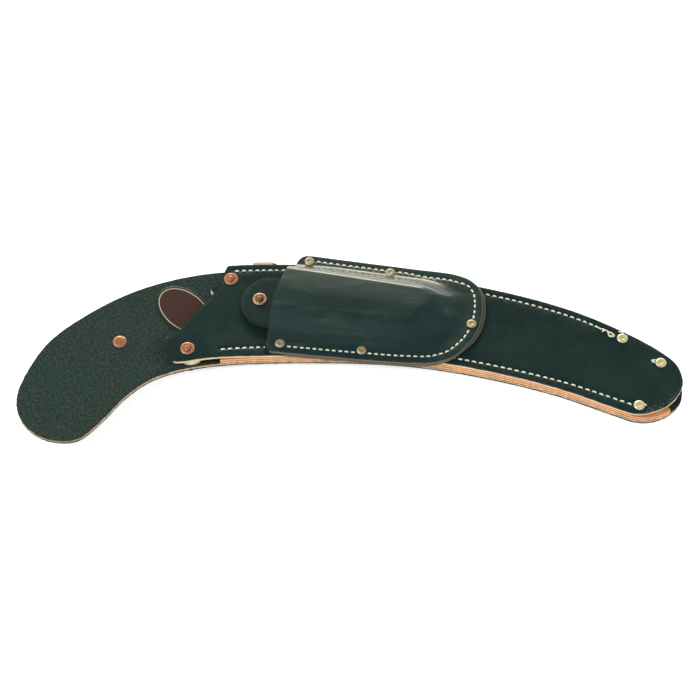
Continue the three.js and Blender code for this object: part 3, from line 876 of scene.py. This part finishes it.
def make_belt_loop():
    upper, lower = (np.array(place) for place in MOUTH_RIVETS.values())
    paddle = np.array(PADDLE_RIVET)
    belt_way = (lower - upper) / np.linalg.norm(lower - upper)
    across = np.array([belt_way[1], -belt_way[0]])
    reach = float((paddle - upper) @ across)
    margin, flat, slope = 13, 9, 11
    bow = loop_end_top - LEATHER - loop_low

    def bowed(x, y):
        s = (x - upper[0]) * across[0] + (y - upper[1]) * across[1]
        return -bow * smoothstep(np.minimum(s - flat, reach - flat - s), 0, slope)

    corners = [upper, paddle, lower]
    outline = []
    for i, corner in enumerate(corners):
        angles = []
        for a, b in ((corners[i - 1], corner), (corner, corners[(i + 1) % 3])):
            angles.append(math.degrees(math.atan2(a[0] - b[0], b[1] - a[1])))
        last = angles[1] if angles[1] > angles[0] else angles[1] + 360
        outline += arc(*corner, margin, angles[0], last, 24)
    sheet(
        "belt_loop", cut_line(outline), loop_end_top, LEATHER,
        [flesh_side, pouch_edge, black_leather],
        lift=bowed, edge=0.8, grid=2.6,
    )


# --- rivets


def turned(node, metal, look, place, profile, dent, grain=0.6, lean=0.0):
    """A turned piece on a vertical axis, from the (radius, z) points of its outline."""
    sides = 36
    x0, y0 = place
    widest = max(r for r, _ in profile)
    points, rows = [], []
    for r, z in profile:
        if r < 1e-6:
            rows.append([len(points)] * sides)
            points.append(to_frame(x0, y0, z))
            continue
        rows.append(list(range(len(points), len(points) + sides)))
        for k in range(sides):
            a = 2 * math.pi * k / sides
            px, py = r * math.cos(a), r * math.sin(a)
            bump = dent * noise.noise(((x0 + px) * grain, (y0 + py) * grain, z * grain))
            wave = 1 + 0.5 * dent * noise.noise((x0 + 2 * math.cos(a), y0 + 2 * math.sin(a), 3.1)) / max(r, 1)
            points.append(to_frame(x0 + px * wave, y0 + py * wave, z + bump + lean * px))
    made = bmesh.new()
    vertices = [made.verts.new(p) for p in points]
    closed = rows[0][0] != rows[0][1]
    pairs = list(zip(rows, rows[1:])) + ([(rows[-1], rows[0])] if closed else [])
    for low, high in pairs:
        for k in range(sides):
            j = (k + 1) % sides
            corners = [low[k], low[j], high[j], high[k]]
            corners = [c for i, c in enumerate(corners) if c != corners[i - 1]]
            if len(corners) > 2:
                made.faces.new([vertices[c] for c in corners])
    bmesh.ops.recalc_face_normals(made, faces=made.faces)
    made.verts.index_update()
    faces = [tuple(v.index for v in f.verts) for f in made.faces]
    made.free()
    rim = [math.dist(p[:2], to_frame(x0, y0, 0)[:2]) / MM / widest for p in points]
    make_piece(node, metal, points, faces, [look], sharp=50, attributes={"rim": rim})


def copper_rivet(name, place, head_down, look=copper):
    """A solid rivet: a broad flat head on one side, and on the other a burr under the peened shank."""
    low, high = heights(name + "_rivet")
    burr_low, burr_high = heights(name + "_burr")
    head, height, shank, burr, peen = 6.4, 1.3, 1.9, 6.6, 3.1

    def flip(z):
        return z if head_down else low + high - z

    foot = burr_high if head_down else low + high - burr_low
    below = [(0, 0.08), (head * 0.3, 0.05), (head * 0.6, 0.1), (head * 0.82, 0.3), (head * 0.95, 0.6)]
    below += [(head, 0.95), (head * 0.98, height), (shank, height)]
    above = [(shank, 0.02), (peen * 0.96, 0.04), (peen, 0.25), (peen * 0.93, 0.55), (peen * 0.74, 0.82)]
    above += [(peen * 0.45, 0.95), (peen * 0.2, 0.93), (0, 0.9)]
    rivet = [(r, flip(low + z)) for r, z in below] + [(r, flip(foot + z)) for r, z in above]
    turned(name + "_rivet", "copper", look, place, rivet, dent=0.14, grain=0.8)
    thick = burr_high - burr_low
    hole = shank + 0.25
    washer = [(hole, 0), (burr * 0.6, 0), (burr * 0.97, 0.02), (burr, 0.4), (burr * 0.95, 0.85)]
    washer += [(burr * 0.86, 1), (burr * 0.62, 0.93), (peen * 1.08, 0.72), (hole, 0.7)]
    washer = [(r, burr_low + z * thick if head_down else burr_high - z * thick) for r, z in washer]
    turned(name + "_burr", "copper", look, place, washer, dent=0.1, grain=0.7)


def brass_rivet(name, place, cap, brass, turn):
    """A cap rivet: a rolled cap with a shallow dished crown on its post, and a flat cap pressed on behind."""
    low, high = heights(name + "_cap")
    post, cap_height = 1.5, 1.5
    seat = high - cap_height
    crown = [(0.93, 0), (1, 0.22), (0.985, 0.55), (0.9, 0.95), (0.78, 1.28), (0.66, 1.46), (0.56, 1.5)]
    crown += [(0.46, 1.36), (0.3, 1.14), (0, 1.06)]
    front = [(0, low), (post, low), (post, seat)] + [(cap * r, seat + z) for r, z in crown]
    lean = 0.02 * math.sin(turn)
    turned(name + "_cap", "brass", brass, place, front, dent=0.07, grain=0.5, lean=lean)
    low, high = heights(name + "_back_cap")
    back, hollow = 4.0, post + 0.28
    behind = [(0, low), (back * 0.5, low + 0.02), (back * 0.88, low + 0.12), (back, low + 0.45)]
    behind += [(back * 0.95, high), (hollow, high), (hollow, low + 0.35), (0, low + 0.35)]
    turned(name + "_back_cap", "brass", brass, place, behind, dent=0.05)


def make_rivets():
    for name, place in MOUTH_RIVETS.items():
        copper_rivet(name, place, True)
    copper_rivet("paddle", PADDLE_RIVET, False)
    copper_rivet("pouch_tab", TAB_RIVET, True, worn_copper)
    copper_rivet("pouch_foot", FOOT_RIVET, True)
    for k, (name, place) in enumerate(TIP_RIVETS.items()):
        brass_rivet(f"tip_{name}_rivet", place, TIP_CAP, tip_brass, k)
    for k, place in enumerate(POUCH_RIVETS):
        brass_rivet(f"pouch_rivet_{k + 1}", place, POUCH_CAP, pouch_brass, k + 2.5)


# --- seams

THREAD_RADIUS = 0.85
STATIONS = 9
SECTION = 8
UPPER_PITCH, LOWER_PITCH, POUCH_PITCH = 6.15, 6.6, 5.9
DASH = 0.66  # share of the pitch that shows between two holes


class Thread:
    """Twisted strands of waxed thread that are gathered into one mesh."""

    def __init__(self):
        self.points, self.faces = [], []

    def strand(self, centres, radii, side, turn):
        """A closed strand round a line of drawing points (x, y, z)."""
        base, count = len(self.points), len(centres)
        for i, ((x, y, z), radius) in enumerate(zip(centres, radii)):
            along_x, along_y = direction(centres, i)
            for k in range(SECTION):
                a = 2 * math.pi * k / SECTION
                plump = radius * (1 + 0.12 * math.cos(2 * a - 1.9 * i + turn))
                sideways, upward = plump * math.cos(a), 0.8 * plump * math.sin(a)
                px, py = x - along_y * sideways, y + along_x * sideways
                self.points.append(to_frame(px, py, z + side * upward))
        loops = [[base + i * SECTION + k for k in range(SECTION)] for i in range(count)]
        made = [tuple(loops[0])]
        for low, high in zip(loops, loops[1:]):
            for k in range(SECTION):
                j = (k + 1) % SECTION
                made.append((low[j], low[k], high[k], high[j]))
        made.append(tuple(reversed(loops[-1])))
        self.faces += made if side > 0 else [tuple(reversed(f)) for f in made]

    def stitch(self, path, start, end, z, side, turn):
        """A short grain of thread along a seam, whose two ends dive into their holes."""
        centres, radii = [], []
        for i in range(STATIONS):
            t = i / (STATIONS - 1)
            droop = abs(2 * t - 1) ** 4
            centres.append((*path.at(start + (end - start) * t), z + side * (0.1 - 0.9 * droop)))
            radii.append(THREAD_RADIUS * (1 - 0.35 * droop))
        self.strand(centres, radii, side, turn)

    def loose(self, places, z):
        """A loose end of thread that lies on the face, through given (x, y, rise) points."""
        steps = 5
        line = smooth([(x, y) for x, y, _ in places], steps=steps)
        rises = np.interp(np.arange(len(line)) / steps, range(len(places)), [rise for _, _, rise in places])
        self.strand([(x, y, z + rise) for (x, y), rise in zip(line, rises)], [0.7] * len(line), 1, 0)

    def piece(self, node):
        make_piece(node, "stitches", self.points, self.faces, [waxed_thread], sharp=70)


def seam(line, z, side, pitch):
    """Even lock stitches along a line, each shifted a little along it."""
    path, thread = Path(line), Thread()
    count = max(1, round(path.length / pitch))
    step = path.length / count
    for k in range(count):
        slack = 0.03 * math.sin(7.3 * k) + 0.02 * math.sin(3.1 * k + 1)
        start = (k + (1 - DASH) / 2 + slack) * step
        thread.stitch(path, start, start + DASH * step, z, side, k)
    return thread


def pouch_seam_stretches():
    """The pouch's seam between its rivets, without short bits beyond the first and last."""
    stretches = [[]]
    for p in pouch_seam:
        if min(math.dist(p, rivet) for rivet in POUCH_RIVETS) < POUCH_CAP + 0.3:
            stretches.append([])
        else:
            stretches[-1].append(p)
    return [line for line in stretches if len(line) > 4]


# Loose ends of thread on the panel, as (x, y, rise above the face).
TANGLE_AT_TIP = [
    [(230.5, 13.4, 0.1), (232.2, 14.6, 0.5), (234.4, 14.2, 0.9)],
    [(234.4, 14.2, 0.9), (235.8, 11.8, 0.8), (236.2, 9.0, 0.5), (238.6, 7.4, 0.3)],
    [(226.0, 18.6, 0.2), (227.4, 17.4, 0.5), (229.8, 16.0, 0.1)],
    [(237.6, 12.8, 0.2), (239.6, 11.0, 0.6), (241.4, 9.0, 0.2)],
    [(235.6, 8.6, 0.3), (238.4, 8.2, 0.7), (241.0, 8.0, 0.2)],
]
KNOT_BY_END_RIVET = [
    [(272.6, -17.6, 0.3), (274.4, -18.6, 0.9), (275.8, -20.4, 0.3)],
    [(273.4, -20.2, 0.4), (274.8, -18.6, 1.2), (276.0, -17.0, 0.3)],
]
END_ABOVE_UPPER_RIVET = [[(245.4, 13.2, 0.2), (247.6, 12.9, 0.6), (249.6, 11.4, 0.2)]]
END_BY_LOWER_RIVET = [[(262.6, -64.4, 0.2), (263.6, -65.0, 0.5), (264.5, -65.7, 0.2)]]
LOOSE_ENDS = {"upper": TANGLE_AT_TIP + END_ABOVE_UPPER_RIVET + KNOT_BY_END_RIVET, "lower": END_BY_LOWER_RIVET}


def make_seams():
    for side_name, line, pitch in (("upper", upper_seam, UPPER_PITCH), ("lower", lower_seam, LOWER_PITCH)):
        node = side_name + "_seam_thread_"
        front = seam(line, panel_top, 1, pitch)
        for places in LOOSE_ENDS[side_name]:
            front.loose(places, panel_top + 0.3)
        front.piece(node + "front")
        seam(line, belting_low, -1, pitch).piece(node + "back")
    for k, line in enumerate(pouch_seam_stretches()):
        seam(line, flange_top, 1, POUCH_PITCH).piece(f"pouch_seam_thread_{k + 1}")


# --- tag


def make_tag():
    """A blank oval card tag: a dark margin, a thin cream line and a brown middle."""
    half_length, half_width, turn = 32, 21.3, math.radians(-46.2)
    margin, line_width = 2.7, 0.9
    low, high = heights("swing_tag")
    inner = margin + line_width
    rings = []
    for inset, z in ((0.05, low), (0.05, high - 0.1), (0.2, high), (margin, high), (inner, high)):
        rings.append((half_length - inset, half_width - inset, z))
    count = 96
    points, faces, slots = [], [], []
    for a, b, z in rings:
        for k in range(count):
            angle = 2 * math.pi * k / count
            x, y = a * math.cos(angle), b * math.sin(angle)
            px = TAG[0] + x * math.cos(turn) - y * math.sin(turn)
            py = TAG[1] + x * math.sin(turn) + y * math.cos(turn)
            points.append(to_frame(px, py, z))
    cream_band = 3
    for k in range(len(rings) - 1):
        for i in range(count):
            j = (i + 1) % count
            faces.append((k * count + i, k * count + j, (k + 1) * count + j, (k + 1) * count + i))
            slots.append(1 if k == cream_band else 0)
    faces += [tuple(range(len(points) - count, len(points))), tuple(reversed(range(count)))]
    slots += [2, 0]
    make_piece("swing_tag", "card", points, faces, [tag_dark, tag_cream, tag_brown], slots)


# --- stage, lights and camera


def aim(thing, place, target):
    thing.location = place
    thing.rotation_mode = "QUATERNION"
    thing.rotation_quaternion = (Vector(target) - Vector(place)).to_track_quat("-Z", "Y")


def make_camera():
    elevation, distance = math.radians(57), 1.778
    target = Vector(to_frame(0, 0, belting_top))
    data = bpy.data.cameras.new("camera")
    data.lens, data.sensor_width = 100, 36
    camera = placed_object("camera", data)
    aim(camera, target + distance * Vector((0, -math.cos(elevation), math.sin(elevation))), target)
    bpy.context.scene.camera = camera


def make_light(name, place, power, glints=True):
    data = bpy.data.lights.new(name, "AREA")
    data.shape, data.size, data.energy = "DISK", 1.0, power
    light = placed_object(name, data)
    light.visible_glossy = glints
    aim(light, place, (0, 0, 0))


def make_floor():
    """A white floor that touches the belt loop's crown and the rivets at the tip."""
    crown_from_end = 0.06
    loop_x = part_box("belt_loop")[0][0] + crown_from_end
    tip_x, _, tip_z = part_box("tip_end_rivet_back_cap")[0]
    slope = tip_z / (tip_x - loop_x)
    reach, sink = 4.0, 0.0001
    places = ((-reach, -reach), (reach, -reach), (reach, reach), (-reach, reach))
    mesh = bpy.data.meshes.new("floor")
    mesh.from_pydata([(x, y, (x - loop_x) * slope - sink) for x, y in places], [], [(0, 1, 2, 3)])
    look = Look("floor_white", Roughness=0.9, Specular_IOR_Level=0.1, Emission_Strength=0.68)
    look.shader.inputs["Emission Color"].default_value = (1, 1, 1, 1)
    look.colour((0.93, 0.93, 0.93, 1))
    mesh.materials.append(look.material)
    placed_object("floor", mesh)


WINDOW_LIGHT = (15.5, 14.6, 11.4)


def make_world():
    """A dim studio with a bright, low, slightly warm window along its far side."""
    world = bpy.data.worlds.new("studio")
    bpy.context.scene.world = world
    world.use_nodes = True
    sky = Nodes(world.node_tree)
    right, ahead, up = sky.split(sky.node("ShaderNodeTexCoord").outputs["Generated"])
    dome = sky.mix(sky.ramp(up, 0.1, 0.7), (0.29, 0.3, 0.3), (0.11, 0.12, 0.12))
    low = sky.times(sky.ramp(up, -0.06, 0.32), sky.ramp(up, 0.32, 0.44, 1, 0))
    window = sky.times(low, sky.ramp(ahead, 0.8, 0.95), sky.ramp(right, 0.1, 0.3, 1, 0))
    lit = sky.mix(window, dome, WINDOW_LIGHT)
    sky.plug(lit, world.node_tree.nodes["Background"].inputs["Color"])


bpy.context.scene.view_settings.view_transform = "Standard"
make_camera()
make_world()
make_floor()
make_light("left_softbox", (-1.6, -0.5, 1.5), 28)
make_light("right_softbox", (1.6, -0.5, 1.5), 21, glints=False)

make_back_plate()
make_welts()
make_spacer()
make_panel()
make_pouch()
make_belt_loop()
make_rivets()
make_seams()
make_tag()
